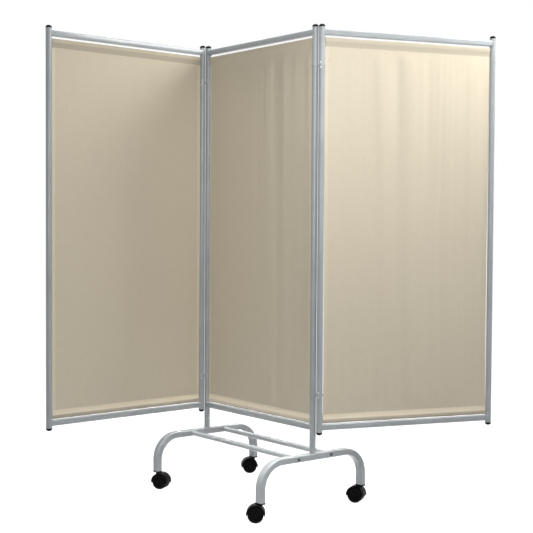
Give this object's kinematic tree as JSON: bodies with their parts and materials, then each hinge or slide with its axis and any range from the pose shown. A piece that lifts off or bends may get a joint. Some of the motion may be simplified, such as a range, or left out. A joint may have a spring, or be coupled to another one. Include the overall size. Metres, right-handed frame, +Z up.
{
  "type": "privacy screen",
  "caption": "Folding privacy screen: cream cloth panels in silver tube frames, hinged to a centre frame that stands on bent-tube legs with black hooded casters.",
  "frame": {"origin": "middle of the bounding box, on the floor", "axes": "+Z up; +X along the centre panel towards the wing that folds back; -Y the front, towards which the other wing folds"},
  "size_m": [0.9412, 1.4072, 1.7373],
  "materials": {
    "powder_coat": "satin silver-grey powder coat",
    "rod_steel": "bright drawn wire",
    "bolt_steel": "dark zinc",
    "black_plastic": "moulded, fine satin",
    "wheel_nylon": "matt nylon",
    "cloth": "cream woven cloth"
  },
  "bodies": {
    "stand": {"caster_socket_front_left": "black_plastic", "caster_socket_front_right": "black_plastic", "caster_socket_rear_left": "black_plastic", "caster_socket_rear_right": "black_plastic", "centre_cap_left": "black_plastic", "centre_cap_right": "black_plastic", "centre_fabric": "cloth", "centre_rail_bottom": "powder_coat", "centre_rail_top": "powder_coat", "centre_rod_bottom": "rod_steel", "centre_rod_top": "rod_steel", "centre_upright_left": "powder_coat", "centre_upright_right": "powder_coat", "spreader_bar_front": "powder_coat", "spreader_bar_rear": "powder_coat", "spreader_bolt_front_left": "bolt_steel", "spreader_bolt_front_right": "bolt_steel", "spreader_bolt_rear_left": "bolt_steel", "spreader_bolt_rear_right": "bolt_steel", "stand_leg_left": "powder_coat", "stand_leg_right": "powder_coat"},
    "left_link": {"left_hinge_link_lower": "powder_coat", "left_hinge_link_upper": "powder_coat"},
    "left_wing": {"left_wing_fabric": "cloth", "left_wing_inner_cap_bottom": "black_plastic", "left_wing_inner_cap_top": "black_plastic", "left_wing_inner_post": "powder_coat", "left_wing_outer_cap_bottom": "black_plastic", "left_wing_outer_cap_top": "black_plastic", "left_wing_outer_post": "powder_coat", "left_wing_rail_bottom": "powder_coat", "left_wing_rail_top": "powder_coat", "left_wing_rod_bottom": "rod_steel", "left_wing_rod_top": "rod_steel"},
    "right_link": {"right_hinge_link_lower": "powder_coat", "right_hinge_link_upper": "powder_coat"},
    "right_wing": {"right_wing_fabric": "cloth", "right_wing_inner_cap_bottom": "black_plastic", "right_wing_inner_cap_top": "black_plastic", "right_wing_inner_post": "powder_coat", "right_wing_outer_cap_bottom": "black_plastic", "right_wing_outer_cap_top": "black_plastic", "right_wing_outer_post": "powder_coat", "right_wing_rail_bottom": "powder_coat", "right_wing_rail_top": "powder_coat", "right_wing_rod_bottom": "rod_steel", "right_wing_rod_top": "rod_steel"},
    "caster_front_left": {"caster_hood_front_left": "black_plastic"},
    "wheel_front_left_a": {"caster_wheel_front_left_a": "wheel_nylon"},
    "wheel_front_left_b": {"caster_wheel_front_left_b": "wheel_nylon"},
    "caster_front_right": {"caster_hood_front_right": "black_plastic"},
    "wheel_front_right_a": {"caster_wheel_front_right_a": "wheel_nylon"},
    "wheel_front_right_b": {"caster_wheel_front_right_b": "wheel_nylon"},
    "caster_rear_left": {"caster_hood_rear_left": "black_plastic"},
    "wheel_rear_left_a": {"caster_wheel_rear_left_a": "wheel_nylon"},
    "wheel_rear_left_b": {"caster_wheel_rear_left_b": "wheel_nylon"},
    "caster_rear_right": {"caster_hood_rear_right": "black_plastic"},
    "wheel_rear_right_a": {"caster_wheel_rear_right_a": "wheel_nylon"},
    "wheel_rear_right_b": {"caster_wheel_rear_right_b": "wheel_nylon"}
  },
  "joints": [
    {"name": "left_link_hinge", "type": "hinge", "parent": "stand", "child": "left_link", "pos_m": [-0.42546, 0.0217, 0], "axis": [0, 0, 1], "range_deg": [-160, 20]},
    {"name": "left_wing_hinge", "type": "hinge", "parent": "left_link", "child": "left_wing", "pos_m": [-0.43367, -0.00085, 0], "axis": [0, 0, 1], "range_deg": [-112, 68]},
    {"name": "right_link_hinge", "type": "hinge", "parent": "stand", "child": "right_link", "pos_m": [0.22154, 0.0217, 0], "axis": [0, 0, 1], "range_deg": [-125.8, 54.2]},
    {"name": "right_wing_hinge", "type": "hinge", "parent": "right_link", "child": "right_wing", "pos_m": [0.241, 0.03574, 0], "axis": [0, 0, 1], "range_deg": [-125.8, 54.2]},
    {"name": "swivel_front_left", "type": "hinge", "parent": "stand", "child": "caster_front_left", "pos_m": [-0.42546, -0.2148, 0], "axis": [0, 0, 1], "continuous": true},
    {"name": "spin_front_left_a", "type": "hinge", "parent": "caster_front_left", "child": "wheel_front_left_a", "pos_m": [-0.41011, -0.20939, 0.02815], "axis": [-0.5, 0.866, 0], "continuous": true},
    {"name": "spin_front_left_b", "type": "hinge", "parent": "caster_front_left", "child": "wheel_front_left_b", "pos_m": [-0.41311, -0.2042, 0.02815], "axis": [-0.5, 0.866, 0], "continuous": true},
    {"name": "swivel_front_right", "type": "hinge", "parent": "stand", "child": "caster_front_right", "pos_m": [0.22154, -0.2148, 0], "axis": [0, 0, 1], "continuous": true},
    {"name": "spin_front_right_a", "type": "hinge", "parent": "caster_front_right", "child": "wheel_front_right_a", "pos_m": [0.20877, -0.2249, 0.02815], "axis": [0.7547, -0.6561, 0], "continuous": true},
    {"name": "spin_front_right_b", "type": "hinge", "parent": "caster_front_right", "child": "wheel_front_right_b", "pos_m": [0.2133, -0.22884, 0.02815], "axis": [0.7547, -0.6561, 0], "continuous": true},
    {"name": "swivel_rear_left", "type": "hinge", "parent": "stand", "child": "caster_rear_left", "pos_m": [-0.42546, 0.25821, 0], "axis": [0, 0, 1], "continuous": true},
    {"name": "spin_rear_left_a", "type": "hinge", "parent": "caster_rear_left", "child": "wheel_rear_left_a", "pos_m": [-0.43649, 0.24623, 0.02815], "axis": [0.848, -0.5299, 0], "continuous": true},
    {"name": "spin_rear_left_b", "type": "hinge", "parent": "caster_rear_left", "child": "wheel_rear_left_b", "pos_m": [-0.4314, 0.24305, 0.02815], "axis": [0.848, -0.5299, 0], "continuous": true},
    {"name": "swivel_rear_right", "type": "hinge", "parent": "stand", "child": "caster_rear_right", "pos_m": [0.22154, 0.25821, 0], "axis": [0, 0, 1], "continuous": true},
    {"name": "spin_rear_right_a", "type": "hinge", "parent": "caster_rear_right", "child": "wheel_rear_right_a", "pos_m": [0.206, 0.25334, 0.02815], "axis": [0.4695, -0.8829, 0], "continuous": true},
    {"name": "spin_rear_right_b", "type": "hinge", "parent": "caster_rear_right", "child": "wheel_rear_right_b", "pos_m": [0.20882, 0.24804, 0.02815], "axis": [0.4695, -0.8829, 0], "continuous": true}
  ]
}
